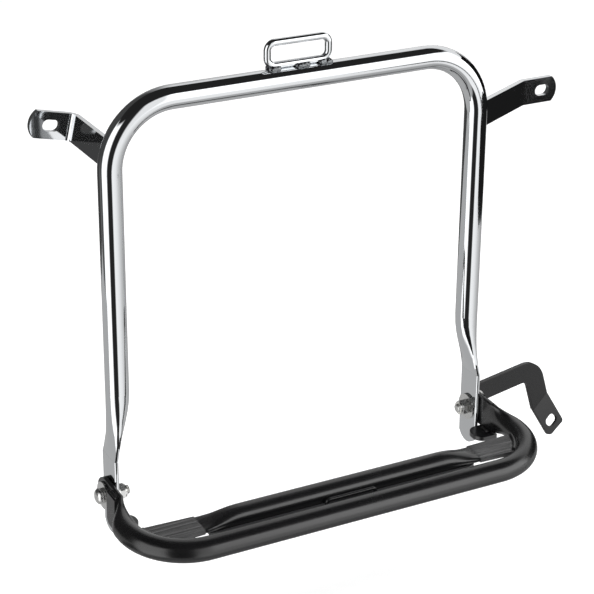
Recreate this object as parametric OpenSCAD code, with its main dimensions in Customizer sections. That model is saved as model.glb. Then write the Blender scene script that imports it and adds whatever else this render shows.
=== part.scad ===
// Pannier frame: a chromed tube hoop that bolts to a motorcycle on three flat brackets, with a black
// powder-coated tube tray that hangs on two pivot bolts at its feet, rests on stops and folds up.
// Millimetres. X runs along the pivot bolts from the left foot to the right foot, Y points away from
// the load towards the machine, Z points up. The origin is the middle of the pivot axis.

/* [Tube] */
// Outside diameter of the hoop, tray and cross tubes
tube_d = 20; // [16:0.5:25]
// Thickness of a tube end after it has been pressed flat
blade_t = 4; // [3:0.1:6]
// Running gap between parts that turn against each other
side_gap = 0.3; // [0.2:0.05:0.8]

/* [Hoop] */
// Distance between the centre lines of the two legs
hoop_w = 340; // [280:1:400]
// Height of the top bar's centre line above the pivot axis
hoop_h = 341; // [260:1:420]
// Centre line radius of the two top corners
hoop_r = 54.2; // [40:0.1:80]
// Width of a leg's flat foot, front to back
hoop_blade_w = 27.5; // [24:0.1:30]
// Depth of a foot's round end below the pivot axis
hoop_blade_drop = 36; // [26:0.5:44]
// Height above the pivot axis where the foot stops being flat
hoop_flat_z = 36; // [28:1:60]
// Height above the pivot axis where the leg is fully round
hoop_round_z = 94; // [70:1:130]

/* [Tray] */
// Distance from the tray's centre plane line to the front bar's centre line
tray_depth = 111.1; // [95:0.1:150]
// Centre line radius of the two front corners
tray_r = 51.6; // [35:0.1:60]
// Downward slope of the tray towards the front
tray_tilt = 2.57; // [0:0.01:6]
// Height of the tray's centre plane above the pivot axis
tray_lift = 1.2; // [0:0.1:4]
// Width of a side tube's flat end, top to bottom
tray_blade_w = 30; // [26:0.1:32]
// Radius of the flat end behind the pivot axis
tray_blade_end_r = 15.5; // [14:0.1:18]
// Distance in front of the pivot axis where the end stops being flat
tray_flat_y = 30; // [26:0.5:34]
// Distance in front of the pivot axis where the side tube is fully round
tray_round_y = 56; // [48:0.5:59]

/* [Cross tube] */
// Distance from the pivot axis to the cross tube's centre line
cross_y = 77.85; // [68:0.1:84]
// Half length of the round part between the pressed ends
cross_round_x = 98; // [80:1:115]
// Distance from the middle to the crease where each end becomes flat
cross_flat_x = 133; // [120:0.5:145]
// Width of a pressed end at the crease
cross_flat_w = 23.5; // [21:0.1:27]
// Width of a pressed end where it meets the side tube
cross_end_w = 28; // [24:0.1:30]

/* [Shelf plate and staple] */
// Thickness of the plate between the cross tube and the front bar
plate_t = 3; // [2:0.1:4]
// Depth of the plate's top face below the tray's centre plane
plate_drop = 3.2; // [1:0.1:5]
// Half length of the plate along the cross tube
plate_half_rear = 128; // [110:1:132]
// Half length of the plate along the front bar
plate_half_front = 92; // [70:1:110]
// Wire diameter of the staple on the plate
staple_d = 3.5; // [3:0.1:5]
// Length of the staple between its leg centres
staple_w = 47; // [30:0.5:70]
// Sideways place of the staple's middle
staple_x = 2.5; // [-20:0.5:20]
// Distance from the pivot axis to the staple
staple_y = 91; // [89.5:0.1:97]
// Height of the staple's top wire centre above the tray's centre plane
staple_z = 1.6; // [0.5:0.1:8]
// Bend radius of the staple's two corners
staple_r = 3.2; // [2.5:0.1:6]

/* [Top loop] */
// Wire diameter of the loop on the top bar
loop_d = 6; // [5:0.1:8]
// Outside width of the loop
loop_w = 61.7; // [40:0.1:90]
// Outside height of the loop
loop_h = 25; // [20:0.1:40]
// Centre line radius of the loop's corners
loop_r = 6.5; // [5:0.1:9]
// Sideways place of the loop's middle
loop_x = -3.4; // [-20:0.1:20]

/* [Pivot hardware] */
// Nominal diameter of the pivot bolts
bolt_d = 8; // [6:1:10]
// Radial play of the tray's eyes on the bolts
pivot_play = 0.08; // [0.04:0.01:0.1]
// Radial play of every other hole on the bolts
hole_play = 0.2; // [0.1:0.05:0.5]
// Diameter of the domed bolt heads
head_d = 14; // [12:0.5:16]
// Height of the domed bolt heads
head_h = 4.8; // [3.5:0.1:6]
// Width across the flats of the heads' hexagon sockets
socket_w = 5; // [4:0.5:6]
// Diameter of the large flat washers
washer_d = 24; // [18:0.5:24.4]
// Thickness of the inner washers
inner_washer_t = 2; // [1.2:0.1:2.5]
// Thickness of the outer washers
outer_washer_t = 1.8; // [1.2:0.1:2.5]
// Width across the flats of the lock nuts
nut_w = 13; // [12:0.5:15]
// Height of the nuts' hexagon part
nut_h = 6.3; // [5:0.1:8]
// Height of the collar that holds the nylon ring
collar_h = 1.7; // [1:0.1:3]
// Length of bolt left standing out of the nut
bolt_out = 1.5; // [0.5:0.1:4]

/* [Upper brackets] */
// Width of the flat bar
bar_w = 23; // [18:0.5:26]
// Thickness of the flat bar
bar_t = 5; // [4:0.1:6]
// Inside bend radius of the flat bar
bar_bend_r = 3.5; // [2:0.1:8]
// Radius of the bar's rounded outer end
bar_end_r = 15.7; // [12:0.1:30]
// Length of the slots
slot_l = 15; // [12:0.1:18]
// Width of the slots
slot_w = 10; // [8:0.1:11]
// Distance of the left bracket's middle below the top bar's centre line
left_bar_z = 42; // [36:1:141]
// Distance behind the pivot plane of the left bracket's front face
left_bar_y = 80; // [40:1:120]
// Length of the left bracket's end leg
left_end_l = 36; // [28:0.5:60]
// Slot centre from the end of the left bracket
left_slot_in = 18.5; // [12:0.5:30]
// Distance of the right bracket's middle below the top bar's centre line
right_bar_z = 61.5; // [57:0.5:191]
// Turn of the right bracket's first leg away from the hoop's plane
right_bar_turn = 27.8; // [0:0.1:45]
// Length of the right bracket's first leg, measured from the leg's centre line
right_bar_l = 86.2; // [60:0.1:120]
// Length of the right bracket's end leg
right_end_l = 35.5; // [28:0.1:60]
// Slot centre from the end of the right bracket
right_slot_in = 15.2; // [12:0.1:30]

/* [Lower bracket] */
// Thickness of the lower bracket's plate
low_t = 4; // [3:0.1:6]
// Height of the arm's top edge above the pivot axis
low_top = 10; // [8:0.1:15]
// Height of the arm's bottom edge below the pivot axis
low_bottom = 9.5; // [8:0.1:12]
// Radius of the plate's eye around the pivot bolt
low_eye_r = 10.4; // [8:0.1:12]
// Distance behind the pivot axis of the fold's inside corner
low_fold_y = 14; // [13:0.1:25]
// Turn of the arm backwards from the pivot axis
low_turn = 14; // [0:0.1:30]
// Inside radius of the fold
low_fold_r = 3; // [2:0.1:6]
// Length of the arm's straight part, from the fold
low_arm_l = 69.75; // [50:0.05:90]
// Outer radius of the arm's downward curve
low_out_r = 31.5; // [26:0.1:40]
// Inner radius of the arm's downward curve
low_in_r = 10.5; // [6:0.1:16]
// Slope of the down leg away from upright
low_leg_slope = 19.5; // [0:0.1:40]
// Length of the down leg's outer edge
low_leg_l = 21.6; // [12:0.1:40]
// Angle of the lower bend line from level
low_bend_slope = 36; // [0:0.1:45]
// Forward bend of the end tab
low_tab_bend = 31; // [0:0.5:60]
// Length of the end tab's outer edge
low_tab_out = 33.5; // [24:0.1:50]
// Length of the end tab's inner edge
low_tab_in = 30; // [24:0.1:50]
// Length of the lower slot
low_slot_l = 13; // [10:0.1:15]
// Distance of the lower slot's centre from the bend line, down the tab
low_slot_down = 18.5; // [12:0.5:24]
// Distance of the lower slot's centre from the tab's inner edge
low_slot_over = 11; // [8:0.5:14]
// Width of the lower slot
low_slot_w = 9; // [8:0.1:10]

/* [Stop brackets] */
// Thickness of the stop plates
stop_t = 4; // [3:0.1:6]
// Gap left between a stop and the foot it bears on
stop_gap = 0.3; // [0.2:0.05:1]
// Reach of the stop inwards past the foot's inner face
stop_in = 10; // [6:0.5:14]
// Width of the stop's level leg, front to back
stop_w = 21; // [16:0.5:24]
// Height of the stop's upright leg above the tray's centre plane
stop_top = 11; // [6:0.5:13]
// Radius of the upright leg's lower rear corner
stop_corner_r = 6; // [2:0.5:10]

/* [Welds] */
// Radius of the weld beads on the black parts
bead_r = 2; // [1:0.1:3]
// Radius of the weld beads under the top loop
loop_bead_r = 2.6; // [1.5:0.1:3.5]

/* [Hidden] */
tube_r = tube_d / 2;
leg_x = hoop_w / 2;
bolt_r = bolt_d / 2;
fine = 96;
// Stack of parts along the pivot bolt, as distances from the middle
foot_out = leg_x + tube_r;
foot_in = foot_out - blade_t;
eye_in = foot_out + side_gap;
eye_out = eye_in + blade_t;
side_x = eye_in + tube_r;
left_stack = eye_out + side_gap;
right_stack = left_stack + low_t;
nut_face = foot_in - inner_washer_t;
nut_end = nut_face - nut_h - collar_h;
bolt_end = nut_end - bolt_out;
tray_out_y = tray_r + tube_r;
front_half = side_x - tray_r;
side_end_y = tray_depth - tray_r;
bar_top = hoop_h + tube_r;
low_drop_z = low_top - low_out_r;

chrome_colour = [0.80, 0.81, 0.83];
black_colour = [0.10, 0.10, 0.11];
zinc_colour = [0.66, 0.68, 0.70];
nylon_colour = [0.86, 0.86, 0.82];

// Section of a pressed tube end: a flat bar with fully rounded edges
module flat_section(width, thick) {
    square([thick, width - thick], center = true);
    for (side = [-1, 1])
        translate([0, side * (width - thick) / 2])
            circle(d = thick, $fn = 48);
}

// Point number i of n on the same section, spread evenly along its edge
function flat_point(i, n, width, thick) =
    let (run = width - thick,
        cap = PI * thick / 2,
        total = 2 * run + 2 * cap,
        s = (i / n * total + run / 2) % total)
    s < run ? [thick / 2, s - run / 2]
    : s < run + cap ? let (a = (s - run) / cap * 180)
        [thick / 2 * cos(a), run / 2 + thick / 2 * sin(a)]
    : s < 2 * run + cap ? [-thick / 2, run / 2 - (s - run - cap)]
    : let (a = 180 + (s - 2 * run - cap) / cap * 180)
        [thick / 2 * cos(a), -run / 2 + thick / 2 * sin(a)];

// Point of a section that is round at share 0 and pressed flat at share 1. One side of the tube stays
// straight, so the middle moves towards that side by what the thickness loses.
function pressed_point(i, n, share, radius, width, thick) =
    let (a = i / n * 360,
        round_p = [radius * cos(a), radius * sin(a)],
        flat_p = flat_point(i, n, width, thick),
        shift = share * (radius - thick / 2))
    [round_p[0] * (1 - share) + flat_p[0] * share + shift, round_p[1] * (1 - share) + flat_p[1] * share];

// Solid between the round tube at z = 0 and the flat end at z = length; keep_side = 1 keeps the +X side
// of the tube straight and 0 presses both sides alike
module pressed_neck(length, radius, width, thick, keep_side = 1) {
    steps = 7;
    count = 36;
    stub = 0.5;
    inset = 0.02;
    rings = steps + 3;
    last = (rings - 1) * count;
    points = concat([for (r = [0 : rings - 1], i = [0 : count - 1])
        let (t = min(1, max(0, (r - 1) / steps)),
            share = t * t * (1.6 - 0.6 * t),
            shift = (1 - keep_side) * share * (radius - thick / 2),
            p = pressed_point(i, count, share, radius - inset, width - 2 * inset, thick - 2 * inset),
            z = r == 0 ? -stub : r == rings - 1 ? length + stub : t * length)
        [p[0] - shift, p[1], z]],
        [[0, 0, -stub], [keep_side * (radius - thick / 2), 0, length + stub]]);
    lower = [for (r = [0 : rings - 2], i = [0 : count - 1])
        [(r + 1) * count + i, (r + 1) * count + (i + 1) % count, r * count + i]];
    upper = [for (r = [0 : rings - 2], i = [0 : count - 1])
        [(r + 1) * count + (i + 1) % count, r * count + (i + 1) % count, r * count + i]];
    ends = [for (i = [0 : count - 1], end = [0, 1])
        end == 0 ? [last + count, i, (i + 1) % count]
        : [last + count + 1, last + (i + 1) % count, last + i]];
    polyhedron(points = points, faces = concat(lower, upper, ends), convexity = 4);
}

// Rod with round ends from one point to another, for weld beads
module bead(from, to, radius) {
    d = to - from;
    flat = norm([d[0], d[1]]);
    translate(from)
        sphere(r = radius, $fn = 32);
    translate(to)
        sphere(r = radius, $fn = 32);
    translate(from)
        rotate([0, atan2(flat, d[2]), atan2(d[1], d[0])])
            cylinder(r = radius, h = norm(d), $fn = 32);
}

// Hole along X for the pivot bolts
module pivot_hole(radius) {
    rotate([0, 90, 0])
        cylinder(r = radius, h = 4 * leg_x, center = true, $fn = fine);
}

// The tray is modelled level and then set on its slope about the pivot axis
module on_tray() {
    rotate([tray_tilt, 0, 0])
        translate([0, 0, tray_lift])
            children();
}

// Round part of the hoop without its feet
module hoop_round() {
    for (side = [-1, 1]) {
        translate([side * leg_x, 0, hoop_round_z])
            cylinder(r = tube_r, h = hoop_h - hoop_r - hoop_round_z, $fn = fine);
        translate([side * (leg_x - hoop_r), 0, hoop_h - hoop_r])
            rotate([90, 0, side > 0 ? 0 : 180])
                rotate_extrude(angle = 90, $fn = fine)
                    translate([hoop_r, 0])
                        circle(r = tube_r, $fn = fine);
    }
    translate([-(leg_x - hoop_r), 0, hoop_h])
        rotate([0, 90, 0])
            cylinder(r = tube_r, h = 2 * (leg_x - hoop_r), $fn = fine);
}

// One foot of the hoop: the neck, the flat blade, its round end and the bolt hole
module hoop_foot() {
    translate([leg_x, 0, hoop_round_z])
        rotate([180, 0, 0])
            pressed_neck(hoop_round_z - hoop_flat_z, tube_r, hoop_blade_w, blade_t);
    difference() {
        intersection() {
            translate([foot_out - blade_t / 2, 0, -hoop_blade_drop])
                linear_extrude(height = hoop_blade_drop + hoop_flat_z)
                    flat_section(hoop_blade_w, blade_t);
            union() {
                translate([foot_in - 1, 0, hoop_blade_w / 2 - hoop_blade_drop])
                    rotate([0, 90, 0])
                        cylinder(r = hoop_blade_w / 2, h = blade_t + 2, $fn = fine);
                translate([foot_in - 1, -hoop_blade_w, hoop_blade_w / 2 - hoop_blade_drop])
                    cube([blade_t + 2, 2 * hoop_blade_w, hoop_blade_drop + hoop_flat_z]);
            }
        }
        pivot_hole(bolt_r + hole_play);
    }
}

module hoop_tube() {
    color(chrome_colour)
        union() {
            hoop_round();
            hoop_foot();
            mirror([1, 0, 0])
                hoop_foot();
        }
}

// Wire loop standing on the top bar
module loop_wire() {
    r = loop_d / 2;
    half = loop_w / 2 - r - loop_r;
    low = bar_top + r;
    high = bar_top + loop_h - r;
    translate([loop_x, 0, 0]) {
        for (side = [-1, 1]) {
            translate([side * (half + loop_r), 0, low + loop_r])
                cylinder(r = r, h = high - low - 2 * loop_r, $fn = 48);
            for (z = [low + loop_r, high - loop_r])
                translate([side * half, 0, z])
                    rotate([90, 0, (side > 0 ? 0 : 180)])
                        mirror([0, z > low + loop_r ? 0 : 1, 0])
                            rotate_extrude(angle = 90, $fn = 64)
                                translate([loop_r, 0])
                                    circle(r = r, $fn = 48);
        }
        for (z = [low, high])
            translate([-half, 0, z])
                rotate([0, 90, 0])
                    cylinder(r = r, h = 2 * half, $fn = 48);
    }
}

module top_loop() {
    color(chrome_colour)
        loop_wire();
}

// Weld bead between the loop's lower wire and the top bar, on both faces
module loop_weld(from_x, to_x) {
    color(chrome_colour)
        difference() {
            for (side = [-1, 1])
                bead([from_x + loop_bead_r, side * loop_bead_r, bar_top + 0.6],
                    [to_x - loop_bead_r, side * loop_bead_r, bar_top + 0.6], loop_bead_r);
            hoop_round();
            loop_wire();
        }
}

module loop_weld_left() {
    loop_weld(loop_x - 28.2, loop_x - 16.5);
}

module loop_weld_middle() {
    loop_weld(loop_x - 3.8, loop_x + 10);
}

module loop_weld_right() {
    loop_weld(loop_x + 17.3, loop_x + 30.3);
}

// Outline of an end leg with its slot: x runs to the free end, y across the bar
module end_leg(length, slot_in) {
    difference() {
        intersection() {
            translate([0, -bar_w / 2])
                square([length, bar_w]);
            union() {
                translate([0, -bar_w])
                    square([length - bar_end_r, 2 * bar_w]);
                translate([length - bar_end_r, 0])
                    circle(r = bar_end_r, $fn = fine);
            }
        }
        for (side = [-1, 1])
            translate([length - slot_in + side * (slot_l - slot_w) / 2, 0])
                circle(d = slot_w, $fn = 64);
        translate([length - slot_in, 0])
            square([slot_l - slot_w, slot_w], center = true);
    }
}

// Tangent of the hoop's corner where the left bracket joins it
left_lean = asin(max(0, hoop_r - left_bar_z) / hoop_r);
left_bar_high = hoop_h - left_bar_z;
left_bar_x = leg_x - hoop_r + hoop_r * cos(left_lean);

// Left flat bar: straight back from the leg, then folded outwards; it leans with the corner of the hoop
module left_bar() {
    translate([-left_bar_x, 0, left_bar_high])
        rotate([0, left_lean, 0])
            translate([-bar_t / 2 + 1, left_bar_y, 0]) {
                translate([0, tube_r - 2.5 - left_bar_y, -bar_w / 2])
                    cube([bar_t, left_bar_y - bar_bend_r - tube_r + 2.5, bar_w]);
                translate([-bar_bend_r, -bar_bend_r, -bar_w / 2])
                    rotate_extrude(angle = 90, $fn = fine)
                        translate([bar_bend_r, 0])
                            square([bar_t, bar_w]);
                translate([-bar_bend_r, bar_t, 0])
                    rotate([90, 0, 0])
                        linear_extrude(height = bar_t)
                            mirror([1, 0])
                                end_leg(left_end_l - bar_bend_r, left_slot_in);
            }
}

module upper_left_bracket() {
    color(chrome_colour)
        difference() {
            left_bar();
            hoop_round();
        }
}

module upper_left_weld() {
    color(chrome_colour)
        difference() {
            translate([-left_bar_x, 0, left_bar_high])
                rotate([0, left_lean, 0])
                    for (side = [-1, 1])
                        translate([1 + side * (bar_t / 2 + 0.4), tube_r - 0.5, 0])
                            bead([0, 0, -bar_w / 2 + 1], [0, 0, bar_w / 2 - 1], bead_r);
            hoop_round();
            left_bar();
        }
}

// Points of an arc about c, from one angle to another
function arc_points(c, r, from, to, n) =
    [for (i = [0 : n]) let (a = from + (to - from) * i / n) c + r * [cos(a), sin(a)]];

// Right flat bar: out from the side of the leg on a slant, then folded parallel to the hoop's plane
right_mid = 1.6;
right_dir = [cos(right_bar_turn), sin(right_bar_turn)];
right_side = [-sin(right_bar_turn), cos(right_bar_turn)];
right_corner = [leg_x, 0] + right_bar_l * right_dir + right_mid * right_side;
right_bend_c = right_corner - (bar_bend_r + bar_t / 2) * tan(right_bar_turn / 2) * right_dir
    - (bar_bend_r + bar_t / 2) * right_side;
right_end_x = right_corner[0] + right_end_l;
right_bar_high = hoop_h - right_bar_z;

module right_bar() {
    root = [leg_x, 0] + (tube_r - 2) * right_dir + right_mid * right_side;
    slot_x = right_end_x - right_slot_in;
    difference() {
        intersection() {
            translate([0, 0, right_bar_high - bar_w / 2])
                linear_extrude(height = bar_w)
                    polygon(concat([root - bar_t / 2 * right_side],
                        arc_points(right_bend_c, bar_bend_r, 90 + right_bar_turn, 90, 5),
                        [[right_end_x, right_corner[1] - bar_t / 2], [right_end_x, right_corner[1] + bar_t / 2]],
                        arc_points(right_bend_c, bar_bend_r + bar_t, 90, 90 + right_bar_turn, 7),
                        [root + bar_t / 2 * right_side]));
            union() {
                translate([leg_x, -bar_t, right_bar_high - bar_w])
                    cube([right_end_x - bar_end_r - leg_x, right_bar_l, 2 * bar_w]);
                translate([right_end_x - bar_end_r, right_bar_l, right_bar_high])
                    rotate([90, 0, 0])
                        cylinder(r = bar_end_r, h = right_bar_l + bar_t, $fn = fine);
            }
        }
        for (side = [-1, 1])
            translate([slot_x + side * (slot_l - slot_w) / 2, right_bar_l, right_bar_high])
                rotate([90, 0, 0])
                    cylinder(d = slot_w, h = right_bar_l, $fn = 64);
        translate([slot_x - (slot_l - slot_w) / 2, 0, right_bar_high - slot_w / 2])
            cube([slot_l - slot_w, right_bar_l, slot_w]);
    }
}

module upper_right_bracket() {
    color(chrome_colour)
        difference() {
            right_bar();
            hoop_round();
        }
}

module upper_right_weld() {
    color(chrome_colour)
        difference() {
            translate([leg_x, 0, right_bar_high])
                rotate([0, 0, right_bar_turn])
                    for (side = [-1, 1])
                        translate([tube_r - 0.4, right_mid + side * (bar_t / 2 + 0.4), 0])
                            bead([0, 0, -bar_w / 2 + 1], [0, 0, bar_w / 2 - 1], bead_r);
            hoop_round();
            right_bar();
        }
}

// Lower bracket outline seen along the arm's normal: x along the arm from the fold, y up
low_in_c = [low_arm_l - 1.5, -low_bottom - low_in_r];
low_out_c = [low_arm_l, low_drop_z];
low_leg_dir = [sin(low_leg_slope), -cos(low_leg_slope)];
low_in_p = low_in_c + low_in_r * [cos(low_leg_slope), sin(low_leg_slope)];
low_out_p = low_out_c + low_out_r * [cos(low_leg_slope), sin(low_leg_slope)];
low_bend_a = low_out_p + low_leg_l * low_leg_dir;
// The bend line runs from the outer edge down to the inner edge at its own slope
low_cross_l = ((low_in_p - low_bend_a) * [cos(low_leg_slope), sin(low_leg_slope)])
    / (-cos(low_bend_slope) * cos(low_leg_slope) - sin(low_bend_slope) * sin(low_leg_slope));
low_bend_b = low_bend_a - low_cross_l * [cos(low_bend_slope), sin(low_bend_slope)];

// Outline that the arm is cut to, with a plain lead towards the fold
module low_arm_outline() {
    lead = 3 * low_t;
    polygon(concat([[-lead, -low_bottom], [-lead, low_top]],
        arc_points(low_out_c, low_out_r, 90, low_leg_slope, 22),
        [low_bend_a, low_bend_b],
        arc_points(low_in_c, low_in_r, low_leg_slope, 90, 14)));
}

// Points that round a corner at v between two points on its sides
function corner_points(from, v, to, n) =
    [for (i = [0 : n]) let (t = i / n) pow(1 - t, 2) * from + 2 * t * (1 - t) * v + t * t * to];

// The end tab, drawn a hair thinner than the arm so that its stub sits inside the arm's end
module low_tab() {
    hair = 0.05;
    thick = low_t - 2 * hair;
    bend_r = 0.5;
    bend_z = -0.3;
    bend_c = [hair - bend_r, bend_z];
    down = [-sin(low_tab_bend), -cos(low_tab_bend)];
    back = [cos(low_tab_bend), -sin(low_tab_bend)];
    reach = max(low_tab_in, low_tab_out) + 5;
    dir = [low_leg_dir * [cos(low_bend_slope), sin(low_bend_slope)],
        low_leg_dir * [-sin(low_bend_slope), cos(low_bend_slope)]];
    across = [-dir[1], dir[0]];
    out_end = [low_cross_l - hair, 0] + low_tab_out * dir;
    in_end = [hair, 0] + low_tab_in * dir;
    slot_c = low_slot_down * dir + low_slot_over * across;
    corner = 4.5;
    difference() {
        intersection() {
            rotate([90, 0, 90])
                linear_extrude(height = low_cross_l + 40, center = true)
                    polygon(concat([[hair, 1]], arc_points(bend_c, bend_r, 0, -low_tab_bend, 3),
                        [bend_c + bend_r * back + reach * down, bend_c + (bend_r + thick) * back + reach * down],
                        arc_points(bend_c, bend_r + thick, -low_tab_bend, 0, 6), [[hair + thick, 1]]));
            rotate([-low_tab_bend, 0, 0])
                rotate([90, 0, 0])
                    linear_extrude(height = 6 * low_t, center = true)
                        polygon(concat([[0.8, 2.5], [low_cross_l - 0.1, 2.5], [low_cross_l - hair, bend_z]],
                            corner_points(out_end - corner * dir, out_end, out_end - corner * across, 8),
                            corner_points(in_end + corner * across, in_end, in_end - corner * dir, 8),
                            [[hair, bend_z]]));
        }
        rotate([-low_tab_bend, 0, 0])
            rotate([90, 0, 0])
                linear_extrude(height = 6 * low_t, center = true)
                    union() {
                        for (side = [-1, 1])
                            translate(slot_c + [side * (low_slot_l - low_slot_w) / 2, 0])
                                circle(d = low_slot_w, $fn = 64);
                        translate(slot_c)
                            square([low_slot_l - low_slot_w, low_slot_w], center = true);
                    }
    }
}

module low_bar() {
    fold = 90 - low_turn;
    reach = low_fold_r * tan(fold / 2);
    bend_c = [right_stack + low_fold_r, low_fold_y - reach];
    arm_dir = [cos(low_turn), sin(low_turn)];
    arm_back = [-sin(low_turn), cos(low_turn)];
    far = low_bend_a[0] + 5;
    high = 3 * low_top;
    deep = 2 * low_out_r;
    difference() {
        intersection() {
            translate([0, 0, -deep])
                linear_extrude(height = deep + high)
                    polygon(concat([[right_stack, -low_eye_r - 1]],
                        arc_points(bend_c, low_fold_r, 180, 90 + low_turn, 10),
                        [bend_c + low_fold_r * arm_back + far * arm_dir,
                            bend_c + (low_fold_r + low_t) * arm_back + far * arm_dir],
                        arc_points(bend_c, low_fold_r + low_t, 90 + low_turn, 180, 14),
                        [[right_stack - low_t, -low_eye_r - 1]]));
            translate([bend_c[0], bend_c[1], 0])
                rotate([0, 0, low_turn])
                    rotate([90, 0, 0])
                        linear_extrude(height = 2 * far, center = true)
                            low_arm_outline();
            union() {
                rotate([0, 90, 0])
                    cylinder(r = low_eye_r, h = 2 * right_stack, $fn = fine);
                translate([0, 0, -deep - 1])
                    cube([4 * right_stack, 4 * far, deep + high + 2]);
            }
        }
        pivot_hole(bolt_r + hole_play);
    }
    translate([bend_c[0], bend_c[1], 0])
        rotate([0, 0, low_turn])
            translate([low_bend_b[0], low_fold_r, low_bend_b[1]])
                rotate([0, -low_bend_slope, 0])
                    low_tab();
}

module lower_bracket() {
    color(black_colour)
        low_bar();
}

// Domed socket-head bolt, head outside, drawn for the right side with its stack ending at stack_x
module pivot_bolt(stack_x) {
    color(zinc_colour)
        difference() {
            union() {
                translate([bolt_end + 1, 0, 0])
                    rotate([0, 90, 0])
                        cylinder(r = bolt_r, h = stack_x - bolt_end - 1, $fn = fine);
                translate([bolt_end, 0, 0])
                    rotate([0, 90, 0])
                        cylinder(r1 = bolt_r - 0.8, r2 = bolt_r, h = 1, $fn = fine);
                translate([stack_x, 0, 0])
                    rotate([0, 90, 0])
                        rotate_extrude($fn = fine)
                            intersection() {
                                square([head_d / 2, head_h]);
                                translate([0, head_h - head_d * 0.62])
                                    circle(r = head_d * 0.62, $fn = fine);
                            }
            }
            translate([stack_x + head_h - 2.6, 0, 0])
                rotate([0, 90, 0])
                    cylinder(r = socket_w / 2 / cos(30), h = 4, $fn = 6);
        }
}

module ring(from_x, thick, outer_r, inner_r) {
    translate([from_x, 0, 0])
        rotate([0, 90, 0])
            difference() {
                cylinder(r = outer_r, h = thick, $fn = fine);
                translate([0, 0, -1])
                    cylinder(r = inner_r, h = thick + 2, $fn = fine);
            }
}

module outer_washer(stack_x) {
    color(zinc_colour)
        ring(stack_x, outer_washer_t, washer_d / 2, bolt_r + hole_play);
}

module inner_washer() {
    color(zinc_colour)
        ring(nut_face, inner_washer_t, washer_d / 2, bolt_r + hole_play);
}

// Lock nut with chamfered hexagon and a round collar that grips the nylon ring
module lock_nut() {
    corner_r = nut_w / 2 / cos(30);
    color(zinc_colour)
        difference() {
            union() {
                intersection() {
                    translate([nut_face - nut_h, 0, 0])
                        rotate([0, 90, 0])
                            cylinder(r = corner_r, h = nut_h, $fn = 6);
                    translate([nut_face - nut_h, 0, 0])
                        rotate([0, 90, 0])
                            cylinder(r1 = nut_w / 2, r2 = nut_w / 2 + 2 * nut_h, h = nut_h, $fn = fine);
                    translate([nut_face - nut_h, 0, 0])
                        rotate([0, 90, 0])
                            cylinder(r1 = nut_w / 2 + 2 * nut_h, r2 = nut_w / 2, h = nut_h, $fn = fine);
                }
                translate([nut_face - nut_h - collar_h, 0, 0])
                    rotate([0, 90, 0])
                        cylinder(r = nut_w / 2 - 0.7, h = collar_h + 0.5, $fn = fine);
            }
            pivot_hole(bolt_r);
            translate([nut_end - 1, 0, 0])
                rotate([0, 90, 0])
                    cylinder(r = bolt_r + 1.2, h = collar_h + 0.8, $fn = fine);
        }
}

module nylon_ring() {
    color(nylon_colour)
        ring(nut_end + 0.2, collar_h - 0.4, bolt_r + 1.2, bolt_r);
}

module left_pivot_bolt() {
    mirror([1, 0, 0])
        pivot_bolt(left_stack + outer_washer_t);
}

module left_outer_washer() {
    mirror([1, 0, 0])
        outer_washer(left_stack);
}

module left_inner_washer() {
    mirror([1, 0, 0])
        inner_washer();
}

module left_lock_nut() {
    mirror([1, 0, 0])
        lock_nut();
}

module left_nylon_ring() {
    mirror([1, 0, 0])
        nylon_ring();
}

module right_pivot_bolt() {
    pivot_bolt(right_stack + outer_washer_t);
}

module right_outer_washer() {
    outer_washer(right_stack);
}

module right_inner_washer() {
    inner_washer();
}

module right_lock_nut() {
    lock_nut();
}

module right_nylon_ring() {
    nylon_ring();
}

// Round part of the tray tube, level
module tray_round() {
    for (side = [-1, 1]) {
        translate([side * side_x, -side_end_y, 0])
            rotate([-90, 0, 0])
                cylinder(r = tube_r, h = side_end_y - tray_round_y, $fn = fine);
        translate([side * front_half, -side_end_y, 0])
            rotate([0, 0, side > 0 ? -90 : 180])
                rotate_extrude(angle = 90, $fn = fine)
                    translate([tray_r, 0])
                        circle(r = tube_r, $fn = fine);
    }
    translate([-front_half, -tray_depth, 0])
        rotate([0, 90, 0])
            cylinder(r = tube_r, h = 2 * front_half, $fn = fine);
}

// One flat end of the tray tube with its rounded tip
module tray_eye() {
    intersection() {
        translate([eye_in + blade_t / 2, tray_blade_end_r, 0])
            rotate([90, 0, 0])
                linear_extrude(height = tray_blade_end_r + tray_flat_y)
                    flat_section(tray_blade_w, blade_t);
        union() {
            translate([eye_in - 1, 0, -tray_lift])
                rotate([0, 90, 0])
                    cylinder(r = tray_blade_end_r, h = blade_t + 2, $fn = fine);
            translate([eye_in - 1, -tray_flat_y - 1, -tray_blade_w])
                cube([blade_t + 2, tray_flat_y + 1, 2 * tray_blade_w]);
        }
    }
}

module tray_tube() {
    color(black_colour)
        difference() {
            on_tray() {
                tray_round();
                for (side = [0, 1])
                    mirror([side, 0, 0]) {
                        tray_eye();
                        translate([side_x, -tray_round_y, 0])
                            rotate([-90, 0, 0])
                                mirror([1, 0, 0])
                                    pressed_neck(tray_round_y - tray_flat_y, tube_r, tray_blade_w, blade_t);
                    }
            }
            pivot_hole(bolt_r + pivot_play);
        }
}

// Centre line of the side tube, and of its corner, at a distance in front of the pivot axis
function side_reach(y) = front_half + sqrt(pow(tray_r, 2) - pow(max(0, y - side_end_y), 2));

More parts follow.
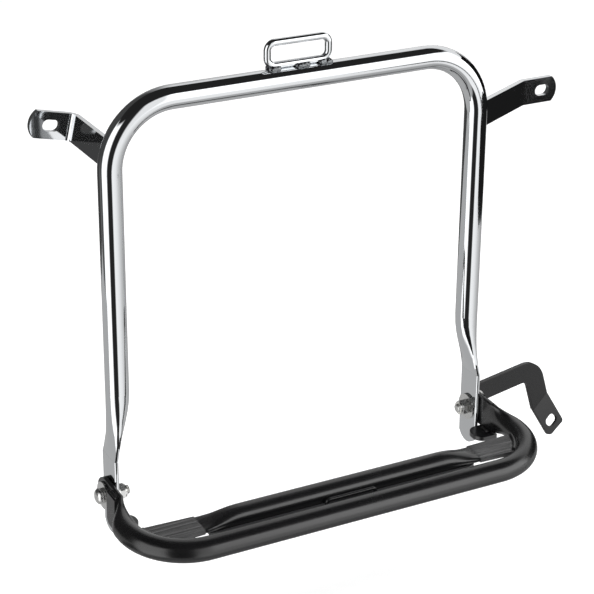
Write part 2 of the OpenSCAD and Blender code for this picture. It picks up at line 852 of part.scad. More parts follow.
// Pressed flat ends of the cross tube, flaring towards the side tubes and ending inside them
module cross_flats() {
    slope = (cross_end_w - cross_flat_w) / 2;
    edge = cross_end_w / 2 + 1;
    for (side = [0, 1])
        mirror([side, 0, 0])
            translate([0, -cross_y, -blade_t / 2])
                linear_extrude(height = blade_t)
                    intersection() {
                        polygon([[cross_flat_x, -cross_flat_w / 2], [side_x, -cross_flat_w / 2 - slope],
                            [side_x, cross_flat_w / 2 + slope], [cross_flat_x, cross_flat_w / 2]]);
                        polygon([[0, -edge], [side_reach(cross_y + edge), -edge],
                            [side_reach(cross_y - edge), edge], [0, edge]]);
                    }
}

// Cross tube: a round middle, a neck at each side and the flats
module cross_solid() {
    translate([0, -cross_y, 0]) {
        translate([-cross_round_x, 0, 0])
            rotate([0, 90, 0])
                cylinder(r = tube_r, h = 2 * cross_round_x, $fn = fine);
        for (side = [0, 1])
            mirror([side, 0, 0])
                translate([cross_round_x, 0, 0])
                    rotate([0, 90, 0])
                        pressed_neck(cross_flat_x - cross_round_x, tube_r, cross_flat_w, blade_t, 0);
    }
    cross_flats();
}

module crossbar() {
    color(black_colour)
        on_tray()
            difference() {
                cross_solid();
                tray_round();
            }
}

// Weld beads above and below a pressed end, following the inside of the tray's corner
module crossbar_weld() {
    root_r = tray_r - tube_r;
    first = asin((cross_y - cross_end_w / 2 - side_end_y + 3) / root_r);
    last = asin((cross_y + cross_end_w / 2 - side_end_y - 3) / root_r);
    color(black_colour)
        on_tray()
            translate([front_half, -side_end_y, 0])
                rotate([0, 0, -last])
                    rotate_extrude(angle = last - first, $fn = fine)
                        difference() {
                            for (side = [-1, 1])
                                translate([root_r - 0.3, side * (blade_t / 2 + 0.3)])
                                    circle(r = bead_r, $fn = 32);
                            translate([tray_r, 0])
                                circle(r = tube_r, $fn = fine);
                            translate([root_r - 5, -blade_t / 2])
                                square([10, blade_t]);
                        }
}

module crossbar_weld_left() {
    mirror([1, 0, 0])
        crossbar_weld();
}

module crossbar_weld_right() {
    crossbar_weld();
}

// Plate that closes the slot between the cross tube and the front bar, with drawn-in ends
module plate_solid() {
    front = tray_depth - tube_r + 4;
    rear = cross_y + 2;
    middle = (front + rear) / 2 + 1;
    translate([0, 0, -plate_drop - plate_t])
        linear_extrude(height = plate_t)
            polygon([[-plate_half_rear, -rear], [-plate_half_rear, -rear - 7],
                [-(plate_half_rear + plate_half_front) / 2 - 4, -middle + 1], [-plate_half_front, -front],
                [plate_half_front, -front], [(plate_half_rear + plate_half_front) / 2 + 4, -middle + 1],
                [plate_half_rear, -rear - 7], [plate_half_rear, -rear]]);
}

module shelf_plate() {
    color(black_colour)
        on_tray()
            difference() {
                plate_solid();
                cross_solid();
                tray_round();
            }
}

// Wire staple standing on the plate
module wire_staple() {
    r = staple_d / 2;
    half = staple_w / 2;
    foot = -plate_drop;
    color(black_colour)
        on_tray()
            translate([staple_x, -staple_y, 0]) {
                for (side = [-1, 1]) {
                    translate([side * half, 0, foot])
                        cylinder(r = r, h = staple_z - staple_r - foot, $fn = 48);
                    translate([side * (half - staple_r), 0, staple_z - staple_r])
                        rotate([90, 0, side > 0 ? 0 : 180])
                            rotate_extrude(angle = 90, $fn = 64)
                                translate([staple_r, 0])
                                    circle(r = r, $fn = 48);
                }
                translate([-half + staple_r, 0, staple_z])
                    rotate([0, 90, 0])
                        cylinder(r = r, h = 2 * (half - staple_r), $fn = 48);
            }
}

// Angle stop on the outside of a tray eye: its level leg reaches in under the eye and bears on the foot
module stop_solid() {
    under = tray_blade_w / 2;
    rear = hoop_blade_w / 2 + stop_gap + (under + stop_t - tray_lift) * sin(tray_tilt);
    leg_rear = washer_d / 2 + stop_gap + 0.9;
    tip = foot_in - stop_in;
    tip_r = stop_w / 2 - 1;
    // upright leg
    translate([eye_out, 0, 0])
        rotate([90, 0, 90])
            linear_extrude(height = stop_t)
                difference() {
                    union() {
                        translate([-tray_flat_y, -under - stop_t + stop_corner_r])
                            square([tray_flat_y - leg_rear, stop_top + under + stop_t - stop_corner_r]);
                        translate([-tray_flat_y, -under - stop_t])
                            square([tray_flat_y - leg_rear - stop_corner_r, stop_corner_r + 1]);
                        translate([-leg_rear - stop_corner_r, -under - stop_t + stop_corner_r])
                            circle(r = stop_corner_r, $fn = 64);
                    }
                }
    // level leg with a round inner end
    translate([0, 0, -under - stop_t])
        linear_extrude(height = stop_t)
            union() {
                translate([tip + tip_r, -rear - stop_w])
                    square([eye_out + stop_t / 2 - tip - tip_r, stop_w]);
                translate([tip, -rear - stop_w + tip_r])
                    square([tip_r + 1, stop_w - 2 * tip_r]);
                for (y = [-rear - tip_r, -rear - stop_w + tip_r])
                    translate([tip + tip_r, y])
                        circle(r = tip_r, $fn = 64);
            }
}

module stop_weld() {
    under = tray_blade_w / 2;
    color(black_colour)
        on_tray()
            difference() {
                union() {
                    bead([eye_out + 0.8, -tray_flat_y + 3, stop_top + 0.2],
                        [eye_out + 0.8, -washer_d / 2 - 5, stop_top + 0.2], bead_r);
                    bead([eye_in + 0.4, -tray_flat_y + 2.5, -under + 0.2],
                        [eye_in + 0.4, -washer_d / 2 - 9, -under + 0.2], bead_r);
                }
                stop_solid();
                tray_eye();
            }
}

module right_stop_bracket() {
    color(black_colour)
        on_tray()
            stop_solid();
}

module left_stop_bracket() {
    mirror([1, 0, 0])
        right_stop_bracket();
}

module right_stop_weld() {
    stop_weld();
}

module left_stop_weld() {
    mirror([1, 0, 0])
        stop_weld();
}

hoop_tube();
top_loop();
loop_weld_left();
loop_weld_middle();
loop_weld_right();
upper_left_bracket();
upper_left_weld();
upper_right_bracket();
upper_right_weld();
lower_bracket();
left_pivot_bolt();
left_outer_washer();
left_inner_washer();
left_lock_nut();
left_nylon_ring();
right_pivot_bolt();
right_outer_washer();
right_inner_washer();
right_lock_nut();
right_nylon_ring();
tray_tube();
crossbar();
crossbar_weld_left();
crossbar_weld_right();
shelf_plate();
wire_staple();
left_stop_bracket();
left_stop_weld();
right_stop_bracket();
right_stop_weld();
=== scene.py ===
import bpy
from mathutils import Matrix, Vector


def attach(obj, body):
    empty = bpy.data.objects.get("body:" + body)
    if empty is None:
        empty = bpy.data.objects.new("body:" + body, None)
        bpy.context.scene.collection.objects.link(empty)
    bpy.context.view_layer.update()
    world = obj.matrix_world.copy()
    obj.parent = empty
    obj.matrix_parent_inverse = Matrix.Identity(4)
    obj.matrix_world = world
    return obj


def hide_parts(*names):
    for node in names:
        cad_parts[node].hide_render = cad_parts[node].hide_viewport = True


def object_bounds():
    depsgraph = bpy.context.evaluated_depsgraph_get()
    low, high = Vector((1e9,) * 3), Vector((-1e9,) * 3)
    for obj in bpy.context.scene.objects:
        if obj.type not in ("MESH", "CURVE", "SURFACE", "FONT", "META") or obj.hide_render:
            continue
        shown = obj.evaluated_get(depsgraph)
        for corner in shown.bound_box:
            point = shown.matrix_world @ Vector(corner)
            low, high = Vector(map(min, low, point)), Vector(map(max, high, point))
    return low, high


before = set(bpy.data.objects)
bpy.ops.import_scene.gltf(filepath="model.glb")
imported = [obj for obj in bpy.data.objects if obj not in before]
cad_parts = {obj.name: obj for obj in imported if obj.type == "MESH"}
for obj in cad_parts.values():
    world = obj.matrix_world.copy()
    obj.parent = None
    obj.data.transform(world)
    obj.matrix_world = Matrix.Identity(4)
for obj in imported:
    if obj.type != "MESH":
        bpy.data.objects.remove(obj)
cad_low, cad_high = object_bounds()

import math
import bmesh
import bpy
from mathutils import Matrix, Vector


# ---- Hoop ---------------------------------------------------------------
# One 20 mm steel tube bent into a hoop, its two ends pressed flat as feet.
# It was ground, polished and bright chrome plated after bending, so it
# mirrors the studio and shows only faint polishing waves and wiping marks.

def linear(text):
    """An sRGB hex colour such as 8A8D90 as the linear colour that Blender's sockets take."""
    parts = [int(text[i:i + 2], 16) / 255 for i in (0, 2, 4)]
    return tuple(p / 12.92 if p <= 0.04045 else ((p + 0.055) / 1.055) ** 2.4 for p in parts) + (1.0,)


def add(tree, kind, links=None, **settings):
    """A new node of that kind. links = {input: output socket of another node}.
    A setting is a property of the node, or in_NAME or in_NUMBER for the value of an input."""
    made = tree.nodes.new(kind)
    for name, value in settings.items():
        if name.startswith("in_"):
            key = name[3:].replace("_", " ")
            made.inputs[int(key) if key.isdigit() else key].default_value = value
        else:
            setattr(made, name, value)
    for socket, source in (links or {}).items():
        tree.links.new(source, made.inputs[socket])
    return made


def finish_of(name, metallic, colour):
    """A new material and its shader, tree and the object's own coordinates, which are metres."""
    made = bpy.data.materials.new(name)
    made.use_nodes = True
    tree = made.node_tree
    shader = tree.nodes["Principled BSDF"]
    shader.inputs["Metallic"].default_value = metallic
    shader.inputs["Base Color"].default_value = linear(colour)
    place = add(tree, "ShaderNodeTexCoord").outputs["Object"]
    return made, tree, shader, place


CRISP_EDGE = 26  # degrees between two faces, from which an edge stays sharp
SAME_POINT = 2e-6  # metres, under which two corners of the mesh are one


def even_shading():
    """A modifier's node tree that shades drawn steel as one smooth skin and keeps its real edges crisp."""
    tree = bpy.data.node_groups.new("even shading", "GeometryNodeTree")
    tree.interface.new_socket("Geometry", in_out="INPUT", socket_type="NodeSocketGeometry")
    tree.interface.new_socket("Geometry", in_out="OUTPUT", socket_type="NodeSocketGeometry")
    entry = add(tree, "NodeGroupInput").outputs[0]
    joined = add(tree, "GeometryNodeMergeByDistance", {"Geometry": entry}, in_Distance=SAME_POINT).outputs[0]
    bend = add(tree, "GeometryNodeInputMeshEdgeAngle").outputs[0]
    crisp = add(tree, "FunctionNodeCompare", {0: bend}, operation="GREATER_THAN", in_1=math.radians(CRISP_EDGE))
    shaded = add(tree, "GeometryNodeSetMeshNormal", {"Mesh": joined, "Edge Sharpness": crisp.outputs[0]},
                 mode="SHARPNESS")
    add(tree, "NodeGroupOutput", {0: shaded.outputs[0]})
    return tree


EVEN_SHADING = even_shading()


def dress(material, *names):
    """Gives every slot of these CAD nodes that finish, and shades their curves evenly."""
    for name in names:
        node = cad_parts[name]
        for slot in node.material_slots:
            slot.material = material
        node.modifiers.new("even shading", "NODES").node_group = EVEN_SHADING


MM = 1000  # a noise of scale MM / s has features about s millimetres wide


def bright_chrome(name, wave_mm, haze_low, haze_high):
    """Bright chrome over polished nickel: a mirror, with hazy wiping marks, the slow waves
    that a polishing mop leaves, and pits too fine to see one by one."""
    made, tree, shader, place = finish_of(name, 1.0, "E6E8EA")
    wipe = add(tree, "ShaderNodeTexNoise", {"Vector": place}, in_Scale=MM / 22, in_Detail=5.0, in_Roughness=0.65)
    haze = add(tree, "ShaderNodeMapRange", {"Value": wipe.outputs[0]},
               in_1=0.35, in_2=0.75, in_3=haze_low, in_4=haze_high)
    tree.links.new(haze.outputs[0], shader.inputs["Roughness"])
    waves = add(tree, "ShaderNodeTexNoise", {"Vector": place}, in_Scale=MM / wave_mm, in_Detail=1.5)
    bump = add(tree, "ShaderNodeBump", {"Height": waves.outputs[0]}, in_Strength=0.35, in_Distance=0.00012)
    pits = add(tree, "ShaderNodeTexNoise", {"Vector": place}, in_Scale=MM / 0.9, in_Detail=2.0)
    fine = add(tree, "ShaderNodeBump", {"Height": pits.outputs[0], "Normal": bump.outputs[0]},
               in_Strength=0.04, in_Distance=0.00002)
    tree.links.new(fine.outputs[0], shader.inputs["Normal"])
    return made


hoop_plating = bright_chrome("bright chrome on bent tube", 26, 0.035, 0.085)
dress(hoop_plating, "hoop_tube")


# ---- Wire loop ------------------------------------------------------------
# A loop of 6 mm steel wire that stands on the hoop's top bar, held by three
# short weld beads, all plated with the hoop. It catches the pannier's hook.

loop_plating = bright_chrome("bright chrome on wire", 14, 0.04, 0.1)
dress(loop_plating, "top_loop")


def weld_chrome(name):
    """Chrome over an arc weld: bright, but the bead's ripples and spatter break up the reflections."""
    made, tree, shader, place = finish_of(name, 1.0, "77797B")
    ripple = add(tree, "ShaderNodeTexNoise", {"Vector": place}, in_Scale=MM / 1.6, in_Detail=2.5, in_Distortion=0.4)
    bump = add(tree, "ShaderNodeBump", {"Height": ripple.outputs[0]}, in_Strength=0.5, in_Distance=0.0004)
    tree.links.new(bump.outputs[0], shader.inputs["Normal"])
    dull = add(tree, "ShaderNodeMapRange", {"Value": ripple.outputs[0]}, in_1=0.3, in_2=0.7, in_3=0.1, in_4=0.24)
    tree.links.new(dull.outputs[0], shader.inputs["Roughness"])
    return made


bead_plating = weld_chrome("chrome plated weld bead")
BEADS = ("loop_weld_left", "loop_weld_middle", "loop_weld_right", "upper_left_weld", "upper_right_weld")
dress(bead_plating, *BEADS)

# the beads get an even fine mesh, and then the lumps that the arc left
SKIN_MM = 0.5
LUMP_MM = 2.4
LUMP_HEIGHT_MM = 1.5
lumps = bpy.data.textures.new("weld lumps", "CLOUDS")
lumps.noise_scale = LUMP_MM / MM
lumps.noise_depth = 1
for name in BEADS:
    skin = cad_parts[name].modifiers.new("fine skin", "REMESH")
    skin.mode = "VOXEL"
    skin.voxel_size = SKIN_MM / MM
    skin.use_smooth_shade = True
    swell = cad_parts[name].modifiers.new("weld lumps", "DISPLACE")
    swell.texture = lumps
    swell.strength = LUMP_HEIGHT_MM / MM
    swell.mid_level = 0.5


# ---- Upper brackets ---------------------------------------------------------
# Two straps of 5 mm flat steel, folded, slotted and welded to the hoop's
# legs, then chromed with it. The flats were mopped less evenly than the tube.

strap_plating = bright_chrome("bright chrome on flat strap", 20, 0.045, 0.09)
dress(strap_plating, "upper_left_bracket", "upper_right_bracket")


# ---- Lower bracket ----------------------------------------------------------
# A 4 mm plate behind the right foot: eye, fold, long curved arm and a bent
# tab with a slot. Sprayed with black powder and baked, half gloss.

def powder_coat(name, colour, rough_low, rough_high, peel_mm, peel, edge_mm=0.0, gloss=0.78, parts=False):
    """Baked black powder coat: half gloss, with the soft pebbling called orange peel, and patches a
    little duller than others. With edge_mm the corners of the plate under it look rounded by that much.
    peel_mm is how wide a pebble is and peel how strong; parts also gives the tree, shader and place."""
    made, tree, shader, place = finish_of(name, 0.0, colour)
    shader.inputs["IOR"].default_value = 1.55
    shader.inputs["Specular IOR Level"].default_value = gloss
    worn = add(tree, "ShaderNodeBevel", samples=8, in_Radius=edge_mm / MM) if edge_mm else None
    pebble = add(tree, "ShaderNodeTexNoise", {"Vector": place}, in_Scale=MM / peel_mm, in_Detail=2.0)
    bump = add(tree, "ShaderNodeBump", {"Height": pebble.outputs[0]}, in_Strength=peel, in_Distance=0.0002)
    if worn:
        tree.links.new(worn.outputs[0], bump.inputs["Normal"])
    tree.links.new(bump.outputs[0], shader.inputs["Normal"])
    patch = add(tree, "ShaderNodeTexNoise", {"Vector": place}, in_Scale=MM / 30, in_Detail=5.0, in_Roughness=0.6)
    rough = add(tree, "ShaderNodeMapRange", {"Value": patch.outputs[0]},
                in_1=0.3, in_2=0.7, in_3=rough_low, in_4=rough_high)
    tree.links.new(rough.outputs[0], shader.inputs["Roughness"])
    return (made, tree, shader, place) if parts else made


plate_coat = powder_coat("black powder coat on plate", "111112", 0.22, 0.27, 1.4, 0.025, edge_mm=0.6, gloss=0.34)
dress(plate_coat, "lower_bracket")


# ---- Pivot hardware -----------------------------------------------------------
# At each foot an 8 mm bolt with a domed head, two flat washers and a lock
# nut, all zinc plated and chromated, so they are paler and duller than chrome.

def zinc_plate(name):
    """Bright zinc on pressed and turned steel: silver with a faint warm cloudiness."""
    made, tree, shader, place = finish_of(name, 1.0, "CFCFCC")
    cloud = add(tree, "ShaderNodeTexNoise", {"Vector": place}, in_Scale=MM / 3.5, in_Detail=4.0)
    tone = add(tree, "ShaderNodeMix", {"Factor": cloud.outputs[0]}, data_type="RGBA",
               in_6=linear("D9D8D5"), in_7=linear("F2F3F3"))
    tree.links.new(tone.outputs["Result"], shader.inputs["Base Color"])
    dull = add(tree, "ShaderNodeMapRange", {"Value": cloud.outputs[0]}, in_1=0.3, in_2=0.7, in_3=0.2, in_4=0.34)
    tree.links.new(dull.outputs[0], shader.inputs["Roughness"])
    grain = add(tree, "ShaderNodeTexNoise", {"Vector": place}, in_Scale=MM / 0.5, in_Detail=2.0)
    bump = add(tree, "ShaderNodeBump", {"Height": grain.outputs[0]}, in_Strength=0.12, in_Distance=0.00005)
    tree.links.new(bump.outputs[0], shader.inputs["Normal"])
    return made


fastener_zinc = zinc_plate("zinc plated fastener")
dress(fastener_zinc, *[side + "_" + piece for side in ("left", "right")
                       for piece in ("outer_washer", "inner_washer", "lock_nut")])

# the 8 mm thread, in millimetres, and how many steps go round a turned piece
SHANK_R = 3.98
THREAD_DEPTH = 0.55
THREAD_PITCH = 1.25
THREAD_L = 7.6
THREAD_STEPS = 44
RUN_OUT_STEPS = 6
BARE_TIP = 8
ROUND = 60
AXIS_R = 0.05


def turned(name, rings, material):
    """A turned piece along the X axis: rings are (x, radius or function of the angle in turns), in mm."""
    mesh = bmesh.new()
    rows = []
    for x, radius in rings:
        row = []
        for i in range(ROUND):
            turns = i / ROUND
            r = radius(turns) if callable(radius) else radius
            y, z = r * math.cos(math.tau * turns), r * math.sin(math.tau * turns)
            row.append(mesh.verts.new((x / MM, y / MM, z / MM)))
        rows.append(row)
    for a, b in zip(rows, rows[1:]):
        for i in range(ROUND):
            j = (i + 1) % ROUND
            mesh.faces.new((a[i], a[j], b[j], b[i]))
    mesh.faces.new(rows[0])
    mesh.faces.new(rows[-1])
    bmesh.ops.recalc_face_normals(mesh, faces=mesh.faces)
    data = bpy.data.meshes.new(name)
    mesh.to_mesh(data)
    mesh.free()
    data.materials.append(material)
    made = bpy.data.objects.new(name, data)
    bpy.context.scene.collection.objects.link(made)
    for face in data.polygons:
        face.use_smooth = True
    data.set_sharp_from_angle(angle=math.radians(28))
    return made


def pivot_bolt(side, sign, seat, spring_t, tip):
    """A domed bolt along X: head, spring washer of spring_t mm on the flat washer's face at seat,
    shank, and thread up to tip. Its profile is pairs of x and radius, in mm."""
    face = seat + spring_t
    dome = [(4.3, AXIS_R), (4.25, 1.6), (4.0, 3.2), (3.4, 4.8), (2.4, 6.1), (1.3, 6.8),
            (0.9, 7.0), (0.25, 7.0), (0, 6.75), (0, 4.6)]
    outer = [(face + x, radius) for x, radius in dome]
    if spring_t:
        outer += [(face - 0.02, 4.6), (face - 0.35, 6.4), (face - 0.6, 6.6),
                  (seat + 0.3, 6.6), (seat + 0.02, 6.4), (seat + 0.02, SHANK_R)]
    outer += [(tip + BARE_TIP, SHANK_R)]
    for k in range(THREAD_STEPS + 1):
        x = tip + BARE_TIP - THREAD_L * k / THREAD_STEPS
        depth = THREAD_DEPTH * min(1.0, k / RUN_OUT_STEPS)
        outer.append((x, lambda t, x=x, depth=depth: SHANK_R - depth * abs(2 * ((x / THREAD_PITCH + t) % 1.0) - 1)))
    outer += [(tip + 0.15, 3.2), (tip, 2.9), (tip, AXIS_R)]
    bolt = turned(side + "_domed_bolt", [(sign * x, r) for x, r in outer], fastener_zinc)
    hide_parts(side + "_pivot_bolt")
    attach(bolt, "hoop")


pivot_bolt("left", -1, 186.4, 2.4, 162.6)
pivot_bolt("right", 1, 190.4, 0, 163.9)

nylon, nylon_tree, nylon_shader, nylon_place = finish_of("moulded nylon", 0.0, "E9E8E1")
# moulded nylon: off white, waxy, slightly uneven in gloss
nylon_grain = add(nylon_tree, "ShaderNodeTexNoise", {"Vector": nylon_place}, in_Scale=MM / 0.8, in_Detail=3.0)
nylon_gloss = add(nylon_tree, "ShaderNodeMapRange", {"Value": nylon_grain.outputs[0]}, in_3=0.35, in_4=0.5)
nylon_tree.links.new(nylon_gloss.outputs[0], nylon_shader.inputs["Roughness"])
dress(nylon, "left_nylon_ring", "right_nylon_ring")


# ---- Tray -----------------------------------------------------------------
# One 20 mm tube bent into a U, its ends pressed flat as eyes, with a cross
# tube welded between its sides. Coated in black powder as one assembly.

tube_coat = powder_coat("black powder coat on tube", "101011", 0.22, 0.28, 1.6, 0.035)
dress(tube_coat, "tray_tube", "crossbar_weld_left", "crossbar_weld_right")

# the cross tube's flared ends keep the drawn lines of the press under the same coat
COAT = "121213"
PRESS_LINE_MM = 2.6
PRESS_LINE_LONG_MM = 120
NECK_END = 0.122  # metres from the middle of the cross tube, where the lines begin
FLAT_START = 0.135  # and where they are in full
pressed_coat, pressed_tree, pressed_shader, pressed_place = powder_coat(
    "black powder coat over press lines", COAT, 0.22, 0.28, 1.6, 0.035, parts=True)
drawn = add(pressed_tree, "ShaderNodeMapping", {"Vector": pressed_place},
            in_3=(MM / PRESS_LINE_LONG_MM, MM / PRESS_LINE_MM, MM / PRESS_LINE_LONG_MM))
lines = add(pressed_tree, "ShaderNodeTexNoise", {"Vector": drawn.outputs[0]},
            in_Scale=1.0, in_Detail=3.0, in_Roughness=0.6)
ends = add(pressed_tree, "ShaderNodeSeparateXYZ", {0: pressed_place}).outputs["X"]
far = add(pressed_tree, "ShaderNodeMath", {0: ends}, operation="ABSOLUTE").outputs[0]
pressed = add(pressed_tree, "ShaderNodeMapRange", {"Value": far}, in_1=NECK_END, in_2=FLAT_START).outputs[0]
deep = add(pressed_tree, "ShaderNodeMath", {0: lines.outputs[0], 1: pressed}, operation="MULTIPLY").outputs[0]
peel_normal = pressed_shader.inputs["Normal"].links[0].from_socket
press_lines = add(pressed_tree, "ShaderNodeBump", {"Height": deep, "Normal": peel_normal},
                  in_Strength=0.9, in_Distance=0.0012)
pressed_tree.links.new(press_lines.outputs[0], pressed_shader.inputs["Normal"])
# the ridges between the lines are painted paler, a painted sheen where the raised ridges catch the light
ridge_sheen_mask = add(pressed_tree, "ShaderNodeMapRange", {"Value": deep}, in_1=0.42, in_2=0.72).outputs[0]
painted_ridge_sheen = add(pressed_tree, "ShaderNodeMix", {"Factor": ridge_sheen_mask}, data_type="RGBA",
             in_6=linear(COAT), in_7=linear("4A4A4B"))
pressed_tree.links.new(painted_ridge_sheen.outputs["Result"], pressed_shader.inputs["Base Color"])
dress(pressed_coat, "crossbar")


# ---- Shelf plate and staple -----------------------------------------------
# A thin plate fills the slot between the cross tube and the front bar, and a
# bent wire staple stands on it. Both were welded in before coating.

# the plate's base colour is a much paler grey than the other black coats: painted light, standing in for the sheen
# and light it shows between the tubes
shelf_coat_painted_lighter = powder_coat("black powder coat on thin plate", "3A3A3B", 0.30, 0.40, 1.3, 0.05)
dress(shelf_coat_painted_lighter, "shelf_plate")

staple_coat = powder_coat("black powder coat on wire", "141415", 0.2, 0.3, 1.2, 0.05)
dress(staple_coat, "wire_staple")


# ---- Stops ------------------------------------------------------------------
# A small folded angle on each eye of the tray, welded on its edges. It bears
# on the front edge of the hoop's foot and holds the tray level.

stop_coat = powder_coat("black powder coat on folded angle", "131314", 0.24, 0.34, 1.3, 0.1, edge_mm=0.5)
dress(stop_coat, "left_stop_bracket", "right_stop_bracket", "left_stop_weld", "right_stop_weld")


# ---- Studio ---------------------------------------------------------------
# A pale light table under the object and soft panels all round it, as the
# chrome mirrors them: dark overhead, a dark gap at the camera, white beside.

def light_table(name):
    """Pale acrylic lit from below: an even white that still takes a faint shadow."""
    made, tree, shader, place = finish_of(name, 0.0, "F4F4F4")
    shader.inputs["Roughness"].default_value = 0.6
    shader.inputs["Emission Color"].default_value = linear("FFFFFF")
    shader.inputs["Emission Strength"].default_value = 0.5
    return made


FLOOR_Z = cad_low.z - 0.03
FLOOR_HALF = 6.0
floor_mesh = bpy.data.meshes.new("floor")
floor_corners = [(x * FLOOR_HALF, y * FLOOR_HALF, FLOOR_Z) for x, y in ((-1, -1), (1, -1), (1, 1), (-1, 1))]
floor_mesh.from_pydata(floor_corners, [], [(0, 1, 2, 3)])
floor = bpy.data.objects.new("floor", floor_mesh)
bpy.context.scene.collection.objects.link(floor)
floor.data.materials.append(light_table("pale light table"))
floor.visible_glossy = False

# Brightness of the panels by compass angle: 0 is the front, positive is the object's left, in degrees.
# HIGH is from about level to 36 degrees up, where the main soft box is; LOW is what stands below it.
HIGH = [(-180, 0.06), (-164, 0.30), (-146, 0.85), (-100, 0.85), (-84, 1.0), (-74, 2.1), (-24, 2.1), (-17, 0.95),
        (2, 0.95), (9, 0.02), (46, 0.02), (54, 1.45), (96, 1.45), (103, 0.05), (126, 0.06), (180, 0.06)]
LOW = [(-180, 0.08), (-164, 0.36), (-120, 0.38), (-90, 0.46), (-60, 0.66), (-30, 0.97), (2, 1.10), (9, 0.02),
       (46, 0.02), (54, 1.45), (96, 1.45), (103, 0.04), (116, 0.10), (124, 0.16), (134, 0.05), (160, 0.05),
       (180, 0.08)]
# Brightness of what lies under the panels, by height angle in degrees
UNDER = [(-90, 0.40), (-66, 0.42), (-62, 0.20), (-57, 0.44), (-46, 0.46)]
# Height angles, in radians, over which one of these gives way to the next from below
TABLE_EDGE = (math.radians(-46), math.radians(-41))
LOW_TO_HIGH = (math.radians(-19), math.radians(-1))
CEILING_EDGE = (math.radians(34), math.radians(41))
CEILING_LIFT = 0.65  # radians more for the ceiling's edge straight behind the object

world = bpy.data.worlds.new("studio")
bpy.context.scene.world = world
world.use_nodes = True
sky = world.node_tree
sky.nodes.clear()
way = add(sky, "ShaderNodeTexCoord").outputs["Generated"]
part = add(sky, "ShaderNodeSeparateXYZ", {0: way}).outputs
left = add(sky, "ShaderNodeMath", {0: part["X"]}, operation="MULTIPLY", in_1=-1.0).outputs[0]
front = add(sky, "ShaderNodeMath", {0: part["Y"]}, operation="MULTIPLY", in_1=-1.0).outputs[0]
compass = add(sky, "ShaderNodeMath", {0: left, 1: front}, operation="ARCTAN2").outputs[0]
turn = add(sky, "ShaderNodeMapRange", {"Value": compass}, in_1=-math.pi, in_2=math.pi).outputs[0]
height = add(sky, "ShaderNodeMath", {0: part["Z"]}, operation="ARCSINE").outputs[0]
climb = add(sky, "ShaderNodeMapRange", {"Value": height}, in_1=-math.pi / 2, in_2=math.pi / 2).outputs[0]
shades = []
for source, reach, stops in ((turn, 180, HIGH), (turn, 180, LOW), (climb, 90, UNDER)):
    ramp = add(sky, "ShaderNodeValToRGB", {0: source})
    while len(ramp.color_ramp.elements) < len(stops):
        ramp.color_ramp.elements.new(0.5)
    for element, (angle, value) in zip(ramp.color_ramp.elements, stops):
        element.position = (angle / reach + 1) / 2
        element.color = (value, value, value, 1.0)
    shades.append(ramp.outputs["Color"])
high_panels, low_panels, under_panels = shades
# the dark ceiling starts higher behind the object than in front of it
behind = add(sky, "ShaderNodeMath", {0: part["Y"]}, operation="MAXIMUM", in_1=0.0).outputs[0]
raised = add(sky, "ShaderNodeMath", {0: behind, 2: height}, operation="MULTIPLY_ADD", in_1=-CEILING_LIFT).outputs[0]
over_table, over_low, over_high = [
    add(sky, "ShaderNodeMapRange", {"Value": angle}, in_1=start, in_2=end).outputs[0]
    for angle, (start, end) in ((height, TABLE_EDGE), (height, LOW_TO_HIGH), (raised, CEILING_EDGE))]
beside = add(sky, "ShaderNodeMix", {"Factor": over_low, 6: low_panels, 7: high_panels}, data_type="RGBA")
lower = add(sky, "ShaderNodeMix", {"Factor": over_table, 6: under_panels, 7: beside.outputs["Result"]},
            data_type="RGBA")
shell = add(sky, "ShaderNodeMix", {"Factor": over_high, 6: lower.outputs["Result"]},
            data_type="RGBA", in_7=linear("242424"))
seen = add(sky, "ShaderNodeLightPath").outputs["Is Camera Ray"]
colour = add(sky, "ShaderNodeMix", {"Factor": seen, 6: shell.outputs["Result"]},
             data_type="RGBA", in_7=linear("FFFFFF"))
backdrop = add(sky, "ShaderNodeBackground", {"Color": colour.outputs["Result"]}, in_Strength=1.0)
add(sky, "ShaderNodeOutputWorld", {"Surface": backdrop.outputs[0]})
bpy.context.scene.view_settings.view_transform = "Standard"


def mirror_card(name, corners, hexa):
    """A card that only the mirroring surfaces see, given by its corners: x, y and, for a standing one, z.
    Without z it lies at the height of the object's lowest point."""
    sheet = bpy.data.meshes.new(name)
    sheet.from_pydata([(*corner, cad_low.z)[:3] for corner in corners], [], [tuple(range(len(corners)))])
    made = bpy.data.objects.new(name, sheet)
    bpy.context.scene.collection.objects.link(made)
    paint, tree, shader, place = finish_of(name, 0.0, "000000")
    shader.inputs["Specular IOR Level"].default_value = 0.0
    shader.inputs["Emission Color"].default_value = linear(hexa)
    shader.inputs["Emission Strength"].default_value = 1.0
    sheet.materials.append(paint)
    made.visible_camera = False
    made.visible_diffuse = False
    made.visible_shadow = False


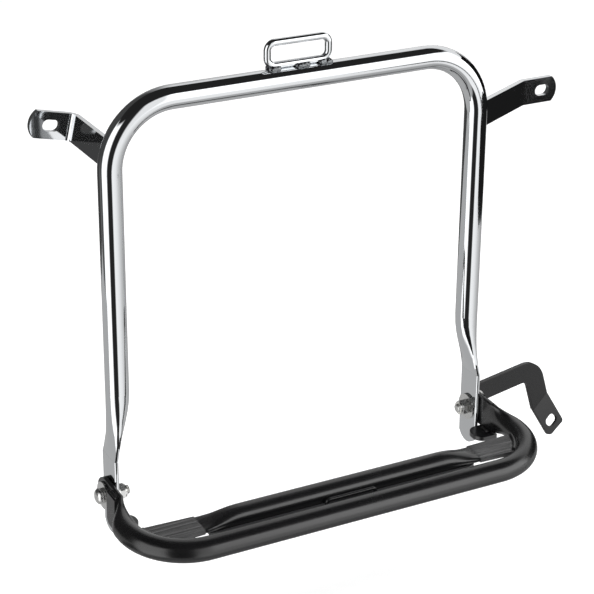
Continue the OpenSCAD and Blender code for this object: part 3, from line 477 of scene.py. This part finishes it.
mirror_card("grey card behind", ((-0.76, 0.0), (0.2, 0.0), (0.2, 0.5), (-0.35, 0.62), (-0.76, 0.5)), "B4B4B4")
mirror_card("dark card right",
            ((0.82, 0.4), (0.82, -0.15), (0.57, -0.6), (0.57, -0.95), (2.2, -0.95), (2.2, 0.4)), "1C1C1C")
# two standing boards that the upper right bend mirrors along its outer edge
mirror_card("dark board behind right",
            ((1.72, 2.45, -0.66), (2.62, 1.55, -0.66), (2.62, 1.55, 0.36), (1.72, 2.45, 0.36)), "101010")
mirror_card("dark board beside right",
            ((2.62, 1.55, -0.66), (2.62, -0.6, -0.2), (2.62, -0.6, 1.3), (2.62, 1.55, 1.3)), "101010")


def soft_light(name, place, aim, size, power):
    """A square soft box that lights the table and the coats but isn't mirrored."""
    lamp = bpy.data.lights.new(name, "AREA")
    lamp.size = size
    lamp.energy = power
    holder = bpy.data.objects.new(name, lamp)
    bpy.context.scene.collection.objects.link(holder)
    holder.location = place
    holder.rotation_euler = (Vector(aim) - Vector(place)).to_track_quat("-Z", "Y").to_euler()
    holder.visible_glossy = False


soft_light("overhead soft box", (0.3, -0.6, 2.2), (0, 0, 0), 2.4, 50)


# ---- Camera ---------------------------------------------------------------
# The photograph's view: front left, 24 degrees down, with a long lens.

STAND = (-0.7166, -1.3419, 0.8243)
FORWARD = Vector((0.42893, 0.80613, -0.40763)).normalized()
ROLL = math.radians(0.44)
LENS_MM = 118.54
SENSOR_MM = 36
level = FORWARD.cross(Vector((0, 0, 1))).normalized()
right = level * math.cos(ROLL) + level.cross(FORWARD) * math.sin(ROLL)
upward = right.cross(FORWARD)
camera_data = bpy.data.cameras.new("camera")
camera_data.lens = LENS_MM
camera_data.sensor_width = SENSOR_MM
camera = bpy.data.objects.new("camera", camera_data)
bpy.context.scene.collection.objects.link(camera)
facing = Matrix((right, upward, -FORWARD)).transposed().to_4x4()
camera.matrix_world = Matrix.Translation(STAND) @ facing
bpy.context.scene.camera = camera

bpy.context.view_layer.update()
